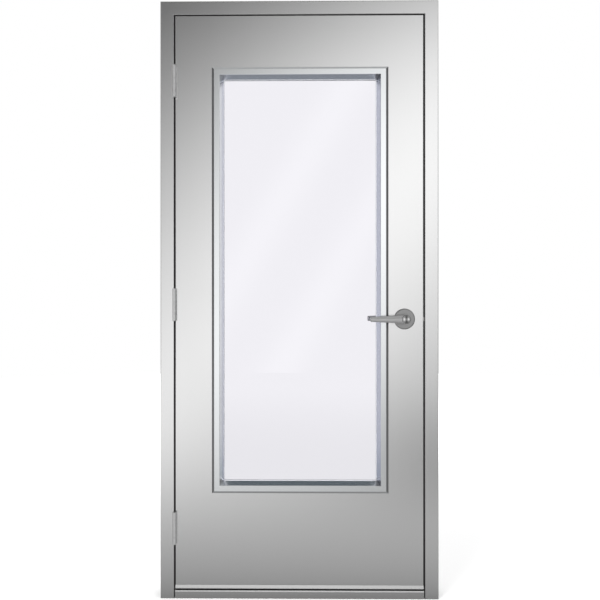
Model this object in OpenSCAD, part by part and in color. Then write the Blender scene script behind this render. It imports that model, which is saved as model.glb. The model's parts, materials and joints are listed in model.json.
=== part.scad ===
// Glazed stainless steel door leaf, hung on three butt hinges in its folded steel frame.
// The origin is on the floor, midway between the jambs and midway through the wall.
// X runs from the hinges to the lock, Y runs through the wall from the pull side, Z is up.

/* [Opening] */
// Width between the rabbets of the two jambs
opening_w = 914.4; // [890:0.1:1100]
// Height from the floor to the rabbet of the head
opening_h = 2133.6; // [2050:0.1:2440]
// Gap round the sides and the top of the leaf
side_gap = 4; // [3.4:0.1:5]
// Gap between the threshold and the leaf
bottom_gap = 6; // [4:0.1:10]

/* [Frame] */
// Width of the frame's face
frame_face = 50.8; // [40:0.1:80]
// Depth of the frame through the wall
frame_depth = 146; // [130:0.5:200]
// Height of the stop above the rabbet
stop_h = 15.9; // [14:0.1:19]
// Length of the return that laps the wall
return_d = 12.7; // [9:0.1:16]
// Thickness of the frame's sheet
frame_t = 1.6; // [1.2:0.1:2]
// Outside radius of the frame's bends
frame_bend = 2.8; // [2.2:0.1:4]
// Height of the threshold
threshold_h = 30; // [20:0.5:40]
// Thickness of the threshold's sheet
threshold_t = 2; // [1.5:0.1:3]
// Height of the sloping nose along the threshold's edges
nose_h = 5.5; // [4:0.1:8]
// Slope of the nose from upright, in degrees
nose_slope = 9.5; // [5:0.5:18]
// Outside radius of the nose's upper edge
nose_round = 1.5; // [1:0.1:2.5]
// Gap at each end of the threshold
threshold_gap = 2.5; // [1:0.1:4]

/* [Anchors] */
// Diameter of the anchor holes in the jamb soffits
anchor_d = 11; // [10.5:0.1:12]
// Number of anchor holes in each jamb
anchor_count = 4; // [3:1:6]
// Height of the lowest anchor hole
anchor_low = 300; // [200:10:400]
// Highest anchor hole below the head rabbet
anchor_high = 333.6; // [200:0.1:500]
// Diameter of the hole in each floor clip
clip_hole_d = 9; // [7:0.5:11]
// Thickness of the floor clips
clip_t = 3; // [2:0.5:4]
// Height of the floor clips
clip_h = 45; // [35:1:60]

/* [Leaf] */
// Thickness of the leaf
leaf_t = 44.45; // [42:0.05:48]
// Thickness of the skins
skin_t = 1.5; // [1:0.1:2]
// Outside radius of the skins' bends
skin_bend = 2.5; // [2.2:0.1:4]
// Leg of the top and bottom channels
channel_leg = 20; // [14:1:30]
// Height of the bottom shoe on the leaf's face
shoe_h = 14; // [10:0.5:20]
// Thickness of the shoe
shoe_t = 1.2; // [0.8:0.1:2]
// How far the shoe's lower edge stands out past its upper edge
shoe_flare = 2.3; // [0.5:0.1:3]

/* [Lite] */
// Leaf's hinge edge to the lite frame
hinge_stile = 133.7; // [115:0.1:170]
// Leaf's lock edge to the lite frame
lock_stile = 127.7; // [118:0.1:170]
// Leaf's top edge to the lite frame
top_rail = 187.1; // [150:0.1:260]
// Leaf's bottom edge to the lite frame
bottom_rail = 349.5; // [250:0.1:450]
// Width of the bevel round the lite frame
trim_bevel = 8; // [6:0.1:10]
// Width of the flat lip of the lite frame
trim_lip = 21; // [18:0.1:26]
// Width of the slope down to the glass
trim_slope = 15; // [11:0.1:20]
// How far the lip stands off the leaf
trim_proud = 8; // [5:0.1:10]
// Thickness of the lite frame's sheet
trim_t = 1.2; // [0.9:0.1:1.6]
// Outside radius of the lite frame's bends
trim_bend = 2; // [1.8:0.1:3]
// How far the lite frame laps the leaf round the cut-out
trim_lap = 17.7; // [16:0.1:19]
// Thickness of the glass
glass_t = 6.35; // [5:0.05:8]
// How far the glass runs in behind the slope's foot
glass_bite = 16.5; // [12:0.1:18]
// Thickness of the glazing tape
tape_t = 3.2; // [2:0.1:4]
// Width of the glazing tape and of the foot that bears on it
tape_w = 10; // [7:0.1:12]
// Screws along each upright of the lite frame
upright_screws = 5; // [3:1:7]
// Screws along each rail of the lite frame
rail_screws = 2; // [2:1:4]
// Diameter of the lite frame's screws
trim_screw_d = 4; // [3:0.1:4.4]
// Diameter of the screw bosses on the front lite frame
boss_d = 7.6; // [6.6:0.1:8]
// Length of the setting blocks under the glass
block_l = 90; // [60:1:110]

/* [Hinges] */
// Height of each hinge
hinge_h = 114.3; // [100:0.1:127]
// Centre of the top hinge below the head rabbet
hinge_drop = 244; // [180:1:300]
// Centre of the bottom hinge above the floor
hinge_low = 259; // [200:1:330]
// Thickness of the hinge leaves
hinge_t = 3.4; // [3:0.1:3.8]
// How far the hinge leaves reach in from the face of the door
hinge_depth = 38.1; // [32:0.1:39]
// Pin centre in front of the face of the door
hinge_throw = 11; // [9.5:0.1:14]
// Diameter of the knuckles
knuckle_d = 13.7; // [12.6:0.1:15]
// Diameter of the hinge pins
hinge_pin_d = 8; // [7:0.1:8.6]
// Height of the bearing rings
bearing_h = 2.6; // [2:0.1:3.4]
// Height of the buttons at the ends of the pins
button_h = 1.5; // [1:0.1:4]
// Diameter of the hinge screws
hinge_screw_d = 5.4; // [4.6:0.1:6]
// Diameter of the hinge screws' heads
hinge_head_d = 10.4; // [9:0.1:11.4]
// Length of the hinge screws
hinge_screw_l = 12; // [10:0.5:16]
// Thickness of the reinforcements behind the hinge leaves
hinge_plate_t = 4.7; // [3:0.1:6]
// How far the reinforcements run past the hinge
hinge_plate_over = 40; // [20:1:60]

/* [Lock] */
// Lock edge of the leaf to the spindle
backset = 69.85; // [66:0.05:75]
// Height of the spindle above the floor
lock_z = 1022; // [960:1:1060]
// Diameter of the bore through the leaf for the chassis
cross_bore_d = 54; // [52:0.1:55]
// Diameter of the roses
rose_d = 76; // [73:0.1:84]
// Height of the roses
rose_h = 10; // [8:0.1:14]
// Wall of the roses
rose_t = 2; // [1.2:0.1:2.4]
// Radius of the roses' edge
rose_round = 4; // [3:0.1:5]
// Spindle to the tip of the lever
lever_l = 127.5; // [105:0.5:145]
// Thickness of the lever at the hub
lever_root_d = 30; // [24:0.1:31]
// Thickness of the lever at its tip
lever_tip_d = 18.6; // [14:0.1:21]
// Rounding of the lever's blunt end
lever_round = 3; // [1:0.1:6]
// Middle of the lever's bar in front of the leaf
lever_reach = 50; // [44:0.5:60]
// Diameter of the lever's hub
hub_d = 33; // [32:0.1:37]
// Diameter of the lever's neck in the rose
neck_d = 27; // [24:0.1:29]
// Side of the square spindle
spindle_s = 8; // [7:0.1:9]
// Diameter of the key plug
plug_d = 12.8; // [11:0.1:14]
// Length of the key plug
plug_l = 22; // [18:0.5:25]
// Width of the keyway
keyway_w = 2.4; // [1.4:0.1:3]
// Height of the keyway
keyway_h = 9; // [6:0.1:10]
// Thickness of the lock's mount plates
mount_t = 2; // [1.5:0.1:3]
// Diameter of the through bolts
through_d = 5; // [4:0.1:5.2]

/* [Latch] */
// Width of the latch bolt through the wall
bolt_w = 12.5; // [11:0.1:13]
// Height of the latch bolt
bolt_h = 16; // [14:0.1:16.5]
// Throw of the latch bolt
bolt_throw = 12.7; // [11:0.1:14]
// Diameter of the latch tube
tube_d = 24.6; // [24:0.1:26]
// Wall of the latch tube
tube_t = 1.4; // [1:0.1:1.6]
// Thickness of the faceplate and of the strike plate
plate_t = 2.4; // [2:0.1:3]
// Width of the faceplate
face_w = 28.6; // [27:0.1:30]
// Height of the faceplate
face_h = 57.2; // [55:0.1:60]
// Spacing of the faceplate's screws
face_pitch = 41.3; // [40:0.1:44]
// Width of the strike plate
strike_w = 31.75; // [29:0.05:34]
// Height of the strike plate
strike_h = 123.8; // [105:0.1:130]
// Spacing of the strike plate's screws
strike_pitch = 104.8; // [85:0.1:108]
// Depth of the strike box
strike_box_d = 16; // [14:0.5:24]
// Diameter of the small screws
small_screw_d = 4; // [3.4:0.1:4.4]
// Diameter of the small screws' heads
small_head_d = 8; // [7:0.1:9]
// Length of the small screws
small_screw_l = 10; // [8:0.5:14]
// Thickness of the reinforcements of the lock edge and the strike
edge_plate_t = 4.5; // [3:0.1:6]
// How far the reinforcements run past the strike at each end
edge_plate_over = 15; // [10:1:25]
// How far the latch bolt runs in behind the edge of the leaf
bolt_in = 26; // [22:0.5:28]
// Spindle to the inner end of the latch bolt's tail
tail_reach = 22; // [20:0.5:24]

/* [Seals] */
// Room for the seal between the leaf and the stop
seal_gap = 4.75; // [4:0.05:6]
// Width of the seals' base
seal_w = 10; // [8:0.1:11]
// Thickness of the seals' base
seal_base = 1.4; // [1:0.1:2]
// Clearance between a seal and the face that it closes on
seal_clear = 0.35; // [0.3:0.05:0.6]

/* [Fits] */
// Clearance of a piece in its seat
fit = 0.2; // [0.1:0.05:0.3]
// Radial clearance of a pin in its bore
run_fit = 0.05; // [0.03:0.01:0.1]
// Gap round a piece that turns or slides in the open
turn_gap = 0.5; // [0.4:0.1:0.8]

/* [Hidden] */
$fn = 48;
bend_steps = 5;
arc_steps = 8;

half_w = opening_w / 2;
outer_x = half_w + frame_face;
frame_top = opening_h + frame_face;
front_y = -frame_depth / 2;
rear_y = frame_depth / 2;
rabbet = leaf_t + seal_gap;
stop_y = front_y + rabbet;

leaf_l = side_gap - half_w;
leaf_r = half_w - side_gap;
leaf_w = leaf_r - leaf_l;
leaf_front = front_y;
leaf_rear = front_y + leaf_t;
leaf_mid = (leaf_front + leaf_rear) / 2;
leaf_bottom = threshold_h + bottom_gap;
leaf_top = opening_h - side_gap;
skin_low = leaf_bottom + shoe_t + fit;
inner_front = leaf_front + skin_t + fit;
inner_rear = leaf_rear - skin_t - fit;
inner_l = leaf_l + skin_bend + fit;
inner_r = leaf_r - skin_bend - fit;
inner_mid_t = inner_rear - inner_front;

lite_w = leaf_w - hinge_stile - lock_stile;
lite_h = leaf_top - leaf_bottom - top_rail - bottom_rail;
lite_x = (leaf_l + hinge_stile + leaf_r - lock_stile) / 2;
lite_z = (leaf_bottom + bottom_rail + leaf_top - top_rail) / 2;
trim_border = trim_bevel + trim_lip + trim_slope;
cut_w = lite_w - 2 * trim_lap;
cut_h = lite_h - 2 * trim_lap;
glass_w = lite_w - 2 * trim_border + 2 * glass_bite;
glass_h = lite_h - 2 * trim_border + 2 * glass_bite;
glass_front = leaf_mid - glass_t / 2;
trim_drop = glass_front - tape_t - leaf_front;
trim_screw_in = (trim_lap + trim_border - glass_bite) / 2;
trim_head_d = 1.8 * trim_screw_d;
trim_head_h = 0.45 * trim_screw_d;
upright_end = 80;
block_x = 3 * glass_w / 8;
liner_t = skin_t;
liner_leg = 22;

pin_x = (leaf_l - half_w) / 2;
pin_y = leaf_front - hinge_throw;
hinge_top_z = opening_h - hinge_drop;
hinge_mid_z = (hinge_top_z + hinge_low) / 2;
hinge_zs = [hinge_low, hinge_mid_z, hinge_top_z];
pan_back = -half_w - hinge_t - fit - frame_t;
knuckles = 5;
knuckle_h = hinge_h / knuckles;
knuckle_gap = 0.3;
hinge_row_end = 15;
hinge_row_mid = 15;
hinge_rows = [hinge_row_end - hinge_h / 2, -hinge_row_mid, hinge_row_mid, hinge_h / 2 - hinge_row_end];
hinge_row_in = [24, 12, 24, 12];

lock_x = leaf_r - backset;
rose_r = rose_d / 2;
hub_proud = 1;
hub_face = lever_reach + lever_root_d / 2 + hub_proud;
neck_low = mount_t + turn_gap;
chassis_d = cross_bore_d - 2 * turn_gap;
mount_d = rose_d - 2 * rose_t - 2 * fit;
through_head_d = 1.6 * through_d;
through_head_h = 0.5 * through_d;
through_r = (cross_bore_d + through_head_d) / 2 + turn_gap;
spindle_short = 20;
spindle_out = lever_reach - spindle_short;
bolt_back = leaf_r - bolt_in;
tail_end = lock_x + tail_reach;
tail_s = 5;
tube_end = lock_x + cross_bore_d / 2 + turn_gap;
edge_plate_h = strike_h + 2 * edge_plate_over;
strike_play = 1.2;
strike_hole_w = bolt_w + 2 * strike_play;
strike_hole_h = bolt_h + 2 * strike_play;
strike_box_t = 1;

threshold_l = opening_w - 2 * threshold_gap;
anchor_pitch = (opening_h - anchor_high - anchor_low) / (anchor_count - 1);
threshold_screw_y = -(front_y + stop_y) / 2;
threshold_screw_xs = [for (k = [-3, -1, 1, 3]) k * threshold_l / 8];
clip_w = -2 * stop_y - 2 * frame_bend;
hinge_lap = 8;
edge_lap = 5;
shoe_screw_l = 9;
shoe_head_h = 1.8;
shoe_screw_gap = 2;
shoe_screw_in = (seal_w + small_head_d) / 2 + shoe_screw_gap;
seal_depth = seal_gap - seal_clear;
seal_mid = stop_h / 2;
head_seal_low = opening_h - seal_mid - seal_w / 2;
boss_low = leaf_front - glass_front;
boss_bore = 16;
trim_screw_grip = 9;
// How far a cut runs past the surface that it opens
over = 1;

steel = [0.78, 0.79, 0.80];
dark_steel = [0.55, 0.56, 0.58];
plated = [0.68, 0.68, 0.69];
black = [0.12, 0.12, 0.13];
grey_foam = [0.84, 0.83, 0.80];
pale_tape = [0.74, 0.75, 0.79];
clear = [0.90, 0.91, 0.94, 0.35];

// Unit direction from one point to another
function way(a, b) = (b - a) / norm(b - a);

// Direction turned a quarter to the left
function left_of(d) = [-d.y, d.x];

function reversed(v) = [for (i = [len(v) - 1 : -1 : 0]) v[i]];

// Points of an arc
function arc(c, r, a, b) =
    [for (i = [0 : arc_steps]) c + r * [cos(a + (b - a) * i / arc_steps), sin(a + (b - a) * i / arc_steps)]];

// One bend of a folded sheet at q, on its outside (side 0) or on its other side (side 1)
function bend(p, q, r, t, radius, side) =
    let (
        a = left_of(way(p, q)),
        b = left_of(way(q, r)),
        turn = atan2(cross(a, b), a * b),
        s = turn > 0 ? 1 : -1,
        near = s > 0 ? radius : radius - t,
        c = q + s * near * (a + b) / (1 + a * b),
        arm = s * (near - s * side * t),
        start = atan2(a.y, a.x)
    )
    [for (i = [0 : bend_steps])
        c - arm * [cos(start + turn * i / bend_steps), sin(start + turn * i / bend_steps)]];

// Outline of a sheet folded along a path, with its thickness on the path's left
function folded(path, t, radius) =
    let (
        n = len(path) - 1,
        a = t * left_of(way(path[0], path[1])),
        b = t * left_of(way(path[n - 1], path[n]))
    )
    concat(
        [path[0]],
        [for (i = [1 : n - 1]) each bend(path[i - 1], path[i], path[i + 1], t, radius, 0)],
        [path[n], path[n] + b],
        [for (i = [n - 1 : -1 : 1]) each reversed(bend(path[i - 1], path[i], path[i + 1], t, radius, 1))],
        [path[0] + a]
    );

// Box between two corners
module block(low, high) {
    translate(low) cube(high - low);
}

// Y-Z outline carried along X
module along_x(from, to) {
    translate([from, 0, 0]) rotate([90, 0, 90]) linear_extrude(to - from) children();
}

// X-Y outline carried along Z
module along_z(from, to) {
    translate([0, 0, from]) linear_extrude(to - from) children();
}

// Places a piece on the lock's axis, with its Z pointing out of the pull side
module on_pull_side() {
    translate([lock_x, leaf_front, lock_z]) rotate([90, 0, 0]) children();
}

// Places a piece on the lock's axis, with its Z pointing out of the push side
module on_push_side() {
    translate([lock_x, leaf_rear, lock_z]) rotate([-90, 0, 0]) children();
}

// Countersunk screw that points down from the origin
module flat_screw(d, head_d, l) {
    rise = (head_d - d) / 2;
    translate([0, 0, -rise]) cylinder(h = rise, d1 = d, d2 = head_d);
    translate([0, 0, -l]) cylinder(h = l - rise, d = d);
}

// Room for a countersunk screw, with its clearance
module flat_screw_room(d, head_d, l) {
    rise = (head_d - d) / 2;
    translate([0, 0, -rise]) cylinder(h = rise, d1 = d + 2 * fit, d2 = head_d + 2 * fit);
    translate([0, 0, -l - fit]) cylinder(h = l + fit, d = d + 2 * fit);
    cylinder(h = 1, d = head_d + 2 * fit);
}

// Section of the frame, with X zero on the rabbet and the wall on the minus side
module frame_section() {
    polygon(folded([
        [-frame_face, front_y + return_d],
        [-frame_face, front_y],
        [0, front_y],
        [0, stop_y],
        [stop_h, stop_y],
        [stop_h, -stop_y],
        [0, -stop_y],
        [0, rear_y],
        [-frame_face, rear_y],
        [-frame_face, rear_y - return_d]
    ], frame_t, frame_bend));
}

// Wedge past the mitre at the hinge side's upper corner, on the head's side or on the jamb's
module mitre_room(head_side) {
    outer = [-outer_x - over, frame_top + over];
    inner = [-half_w + stop_h + over, opening_h - stop_h - over];
    translate([0, rear_y + over, 0]) rotate([90, 0, 0]) linear_extrude(frame_depth + 2 * over)
        polygon([outer, inner, head_side ? [inner.x, outer.y] : [outer.x, inner.y]]);
}

// Jamb on the hinge side before its pockets are cut
module plain_jamb() {
    difference() {
        along_z(0, frame_top) translate([-half_w, 0]) frame_section();
        mitre_room(true);
        for (i = [0 : anchor_count - 1])
            translate([-half_w - over, 0, anchor_low + i * anchor_pitch]) rotate([0, 90, 0])
                cylinder(h = stop_h + 2 * over, d = anchor_d);
    }
}

// Seat of a hinge leaf in the jamb or the door edge, from x in the direction of dir
module hinge_seat(x, dir, z) {
    x2 = x + dir * (hinge_t + fit);
    block([min(x - dir, x2), pin_y, z - hinge_h / 2 - fit],
          [max(x - dir, x2), leaf_front + hinge_depth + fit, z + hinge_h / 2 + fit]);
}

// Pan pressed into the jamb behind a hinge leaf, before its seat is cut
module hinge_pan(z) {
    half = hinge_h / 2 + fit + frame_t;
    block([pan_back, front_y + frame_t, z - half],
          [-half_w - frame_t, leaf_front + hinge_depth + fit + frame_t, z + half]);
}

module hinge_jamb() {
    color(steel) difference() {
        union() {
            plain_jamb();
            for (z = hinge_zs) hinge_pan(z);
        }
        for (z = hinge_zs) {
            hinge_seat(-half_w, -1, z);
            on_pin(z) at_hinge_screws() flat_screw_room(hinge_screw_d, hinge_head_d, hinge_screw_l);
        }
    }
}

// Seat of the strike plate in the strike jamb
module strike_seat() {
    block([half_w - 1, leaf_mid - strike_w / 2 - fit, lock_z - strike_h / 2 - fit],
          [half_w + plate_t, leaf_mid + strike_w / 2 + fit, lock_z + strike_h / 2 + fit]);
}

module strike_jamb() {
    color(steel) difference() {
        mirror([1, 0, 0]) plain_jamb();
        strike_seat();
    }
}

module head_member() {
    color(steel) difference() {
        translate([-outer_x, 0, opening_h]) rotate([0, 90, 0]) linear_extrude(2 * outer_x) frame_section();
        for (k = [0, 1]) mirror([k, 0, 0]) mitre_room(false);
    }
}

// Outline of the threshold's section, with a sloping nose along each edge
module threshold_outline() {
    low = threshold_h - nose_h;
    high = threshold_h - nose_round;
    rise = high + nose_round * sin(nose_slope) - low;
    side = rear_y - rise * tan(nose_slope) - nose_round * cos(nose_slope);
    polygon(concat(
        [[-rear_y, 0], [rear_y, 0], [rear_y, low]],
        arc([side, high], nose_round, nose_slope, 90),
        arc([-side, high], nose_round, 90, 180 - nose_slope),
        [[-rear_y, low]]
    ));
}

// Hollow inside the threshold's section
module threshold_hollow() {
    r = 2 * threshold_t;
    high = threshold_h - threshold_t - r;
    side = rear_y - threshold_t - r;
    polygon(concat(
        [[-side - r, threshold_t], [side + r, threshold_t]],
        arc([side, high], r, 0, 90),
        arc([-side, high], r, 90, 180)
    ));
}

module threshold() {
    color(steel) difference() {
        along_x(-threshold_l / 2, threshold_l / 2) difference() {
            threshold_outline();
            threshold_hollow();
        }
        for (k = [0, 1]) mirror([k, 0, 0])
            block([half_w - stop_h - threshold_gap, stop_y - threshold_gap, -1],
                  [half_w, -stop_y + threshold_gap, threshold_h + 1]);
        for (x = threshold_screw_xs) translate([x, threshold_screw_y, threshold_h])
            flat_screw_room(small_screw_d, small_head_d, threshold_h + 1);
    }
}

module threshold_screws() {
    color(plated) for (x = threshold_screw_xs) translate([x, threshold_screw_y, threshold_h])
        flat_screw(small_screw_d, small_head_d, threshold_h);
}

// Angle welded inside the foot of the jamb, with its hole for a floor anchor
module floor_clip() {
    bend_r = clip_t + 1;
    clip_r = -half_w + stop_h - frame_t;
    clip_l = -outer_x + frame_t + fit;
    color(plated) difference() {
        rotate([90, 0, 0]) linear_extrude(clip_w, center = true)
            polygon(folded([[clip_l, 0], [clip_r, 0], [clip_r, clip_h]], clip_t, bend_r));
        translate([(clip_l - half_w) / 2, 0, -1]) cylinder(h = clip_t + 2, d = clip_hole_d);
    }
}

module hinge_floor_clip() {
    floor_clip();
}

module strike_floor_clip() {
    mirror([1, 0, 0]) floor_clip();
}

// Section of a seal, with its base on X and its bulb on plus Y
module seal_section(depth) {
    translate([-seal_w / 2, 0]) square([seal_w, seal_base]);
    translate([0, depth / 2]) circle(d = depth);
}

// Seal on the stop of the hinge jamb
module side_seal() {
    color(black) along_z(threshold_h + fit, head_seal_low - fit)
        translate([-half_w + seal_mid, stop_y]) mirror([0, 1]) seal_section(seal_depth);
}

module hinge_side_seal() {
    side_seal();
}

module strike_side_seal() {
    mirror([1, 0, 0]) side_seal();
}

module head_seal() {
    reach = half_w - seal_mid + seal_w / 2;
    color(black) along_x(-reach, reach) translate([stop_y, opening_h - seal_mid]) rotate(90)
        seal_section(seal_depth);
}

// Screw holes of the strike plate, as places on its face
module at_strike_screws() {
    for (k = [-1, 1]) translate([half_w, leaf_mid, lock_z + k * strike_pitch / 2]) rotate([0, -90, 0])
        children();
}

module strike_plate() {
    color(plated) difference() {
        block([half_w, leaf_mid - strike_w / 2, lock_z - strike_h / 2],
              [half_w + plate_t, leaf_mid + strike_w / 2, lock_z + strike_h / 2]);
        block([half_w - 1, leaf_mid - strike_hole_w / 2, lock_z - strike_hole_h / 2],
              [half_w + plate_t + 1, leaf_mid + strike_hole_w / 2, lock_z + strike_hole_h / 2]);
        at_strike_screws() flat_screw_room(small_screw_d, small_head_d, small_screw_l);
    }
}

module strike_screws() {
    color(plated) at_strike_screws() flat_screw(small_screw_d, small_head_d, small_screw_l);
}

// Block round the strike box, grown by a clearance
module strike_box_block(grow) {
    w = strike_hole_w / 2 + 2 * strike_box_t + grow;
    h = strike_hole_h / 2 + 2 * strike_box_t + grow;
    block([half_w + plate_t, leaf_mid - w, lock_z - h],
          [half_w + plate_t + strike_box_d + grow, leaf_mid + w, lock_z + h]);
}

module strike_box() {
    color(plated) difference() {
        strike_box_block(0);
        translate([-strike_box_t, 0, 0]) strike_box_block(-strike_box_t);
    }
}

// Plate welded behind the rabbet, with the pocket of the strike plate
module strike_reinforcement() {
    color(dark_steel) difference() {
        block([half_w + frame_t, front_y + frame_bend + fit, lock_z - edge_plate_h / 2],
              [half_w + plate_t + edge_plate_t, leaf_mid + strike_w / 2 + edge_lap,
               lock_z + edge_plate_h / 2]);
        strike_seat();
        strike_box_block(fit);
        at_strike_screws() flat_screw_room(small_screw_d, small_head_d, small_screw_l);
    }
}

// Places of a hinge's screws on the jamb side of the pin
module at_hinge_screws() {
    for (i = [0 : len(hinge_rows) - 1])
        translate([-side_gap / 2, hinge_throw + hinge_row_in[i], hinge_rows[i]]) rotate([0, 90, 0])
            children();
}

// Hinge leaf on the jamb side of the pin, with every second knuckle from the first one
module hinge_leaf(first, ring) {
    color(steel) difference() {
        union() {
            block([-side_gap / 2 - hinge_t, 0, -hinge_h / 2],
                  [-side_gap / 2, hinge_throw + hinge_depth, hinge_h / 2]);
            translate([0, 0, -hinge_h / 2]) cylinder(h = hinge_h, d = knuckle_d);
        }
        for (k = [1 - first : 2 : knuckles - 1]) {
            foot = k == 0 ? 1 : knuckle_gap / 2 + (k == knuckles - 1 ? ring : 0);
            crown = k == knuckles - 1 ? 1 : knuckle_gap / 2 + (k == 0 ? ring : 0);
            low = -hinge_h / 2 + k * knuckle_h - foot;
            high = -hinge_h / 2 + (k + 1) * knuckle_h + crown;
            translate([0, 0, low]) cylinder(h = high - low, d = knuckle_d + 2 * turn_gap);
        }
        translate([0, 0, -hinge_h / 2 - 1]) cylinder(h = hinge_h + 2, d = hinge_pin_d + 2 * run_fit);
        at_hinge_screws() flat_screw_room(hinge_screw_d, hinge_head_d, hinge_screw_l);
    }
}

// Places a piece of a hinge on its pin
module on_pin(z) {
    translate([pin_x, pin_y, z]) children();
}

module jamb_leaf(z) {
    on_pin(z) hinge_leaf(0, 0);
}

module door_leaf(z) {
    on_pin(z) mirror([1, 0, 0]) hinge_leaf(1, bearing_h + knuckle_gap);
}

// Pin with a button over each end of the barrel
module hinge_pin(z) {
    end = hinge_h / 2 + knuckle_gap;
    color(plated) on_pin(z) {
        translate([0, 0, -end]) cylinder(h = 2 * end, d = hinge_pin_d);
        for (k = [0, 1]) mirror([0, 0, k]) translate([0, 0, end]) rotate_extrude()
            polygon(concat([[0, 0], [knuckle_d / 2, 0]],
                arc([knuckle_d / 2 - button_h / 2, button_h / 2], button_h / 2, 0, 90),
                [[0, button_h]]));
    }
}

module top_hinge_jamb_leaf() {
    jamb_leaf(hinge_top_z);
}

module middle_hinge_jamb_leaf() {
    jamb_leaf(hinge_mid_z);
}

module bottom_hinge_jamb_leaf() {
    jamb_leaf(hinge_low);
}

module top_hinge_pin() {
    hinge_pin(hinge_top_z);
}

module middle_hinge_pin() {
    hinge_pin(hinge_mid_z);
}

module bottom_hinge_pin() {
    hinge_pin(hinge_low);
}

module top_hinge_door_leaf() {
    door_leaf(hinge_top_z);
}

module middle_hinge_door_leaf() {
    door_leaf(hinge_mid_z);
}

module bottom_hinge_door_leaf() {
    door_leaf(hinge_low);
}

// Two bearing rings in each hinge, inside the outer knuckles
module hinge_bearings() {
    color(plated) for (z = hinge_zs) on_pin(z) for (k = [0, 1]) mirror([0, 0, k])
        translate([0, 0, -hinge_h / 2 + knuckle_h + knuckle_gap / 2]) difference() {
            cylinder(h = bearing_h, d = knuckle_d);
            translate([0, 0, -1]) cylinder(h = bearing_h + 2, d = hinge_pin_d + 2 * run_fit);
        }
}

module jamb_hinge_screws() {
    color(plated) for (z = hinge_zs) on_pin(z) at_hinge_screws()
        flat_screw(hinge_screw_d, hinge_head_d, hinge_screw_l);
}

module door_hinge_screws() {
    color(plated) for (z = hinge_zs) on_pin(z) mirror([1, 0, 0]) at_hinge_screws()
        flat_screw(hinge_screw_d, hinge_head_d, hinge_screw_l);
}

// Plates welded behind the pans of the hinge jamb
module jamb_hinge_reinforcements() {
    half = hinge_h / 2 + hinge_plate_over;
    color(dark_steel) for (z = hinge_zs) difference() {
        block([pan_back - hinge_plate_t, front_y + frame_bend + fit, z - half],
              [pan_back, leaf_front + hinge_depth + hinge_lap, z + half]);
        on_pin(z) at_hinge_screws() flat_screw_room(hinge_screw_d, hinge_head_d, hinge_screw_l);
    }
}

// Plates inside the hinge edge of the leaf, with the hinge pockets
module door_hinge_reinforcements() {
    half = hinge_h / 2 + hinge_plate_over;
    color(dark_steel) for (z = hinge_zs) difference() {
        block([leaf_l + skin_t, leaf_front + skin_bend + fit, z - half],
              [leaf_l + hinge_t + fit + hinge_plate_t, leaf_rear - skin_bend - fit, z + half]);
        hinge_seat(leaf_l, 1, z);
        on_pin(z) mirror([1, 0, 0]) at_hinge_screws()
            flat_screw_room(hinge_screw_d, hinge_head_d, hinge_screw_l);
    }
}

// Cuts for the lock through both skins
module lock_cuts() {
    translate([lock_x, leaf_front - 1, lock_z]) rotate([-90, 0, 0]) {
        cylinder(h = leaf_t + 2, d = cross_bore_d);
        for (k = [-1, 1]) translate([0, k * through_r, 0])
            cylinder(h = leaf_t + 2, d = through_d + 2 * turn_gap);
    }
    face_seat();
}

// Seat of the latch faceplate in the lock edge
module face_seat() {
    block([leaf_r - plate_t, leaf_mid - face_w / 2 - fit, lock_z - face_h / 2 - fit],
          [leaf_r + 1, leaf_mid + face_w / 2 + fit, lock_z + face_h / 2 + fit]);
}

// Cut-out of the leaf for the glass, through the whole thickness
module lite_cut() {
    block([lite_x - cut_w / 2, leaf_front - 1, lite_z - cut_h / 2],
          [lite_x + cut_w / 2, leaf_rear + 1, lite_z + cut_h / 2]);
}

// Skin folded back along both edges of the leaf, to the seam in the middle of the edge
module skin(face, seam, dir) {
    color(steel) difference() {
        along_z(skin_low, leaf_top) polygon(folded([
            [-dir * leaf_w / 2, seam],
            [-dir * leaf_w / 2, face],
            [dir * leaf_w / 2, face],
            [dir * leaf_w / 2, seam]
        ], skin_t, skin_bend));
        lite_cut();
        lock_cuts();
        for (z = hinge_zs) hinge_seat(leaf_l, 1, z);
    }
}

module front_skin() {
    skin(leaf_front, leaf_mid - fit / 2, 1);
}

module rear_skin() {
    skin(leaf_rear, leaf_mid + fit / 2, -1);
}

module top_channel() {
    low = leaf_top - channel_leg;
    color(steel) along_x(inner_l, inner_r) polygon(folded([
        [inner_rear, low],
        [inner_rear, leaf_top],
        [inner_front, leaf_top],
        [inner_front, low]
    ], skin_t, skin_bend));
}

module bottom_channel() {
    color(plated) difference() {
        along_x(inner_l, inner_r) polygon(folded([
            [inner_front, skin_low + channel_leg],
            [inner_front, skin_low],
            [inner_rear, skin_low],
            [inner_rear, skin_low + channel_leg]
        ], skin_t, skin_bend));
        at_shoe_screws() cylinder(h = shoe_screw_l, d = small_screw_d + 2 * fit);
    }
}

// Places of the shoe's screws, on its underside
module at_shoe_screws() {
    for (k = [-3, -1, 1, 3]) translate([k * leaf_w / 8, leaf_mid + shoe_screw_in, leaf_bottom]) children();
}

module bottom_shoe() {
    color(steel) difference() {
        along_x(leaf_l + fit, leaf_r - fit) polygon(folded([
            [leaf_front - shoe_t, leaf_bottom + shoe_h],
            [leaf_front - shoe_t - shoe_flare, leaf_bottom],
            [leaf_rear, leaf_bottom]
        ], shoe_t, shoe_t + 1));
        at_shoe_screws() translate([0, 0, -1]) cylinder(h = shoe_screw_l, d = small_screw_d + 2 * fit);
    }
}

module shoe_screws() {
    color(plated) at_shoe_screws() {
        translate([0, 0, -shoe_head_h]) cylinder(h = shoe_head_h, d1 = small_head_d - 1, d2 = small_head_d);
        cylinder(h = shoe_screw_l - fit, d = small_screw_d);
    }
}

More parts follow.
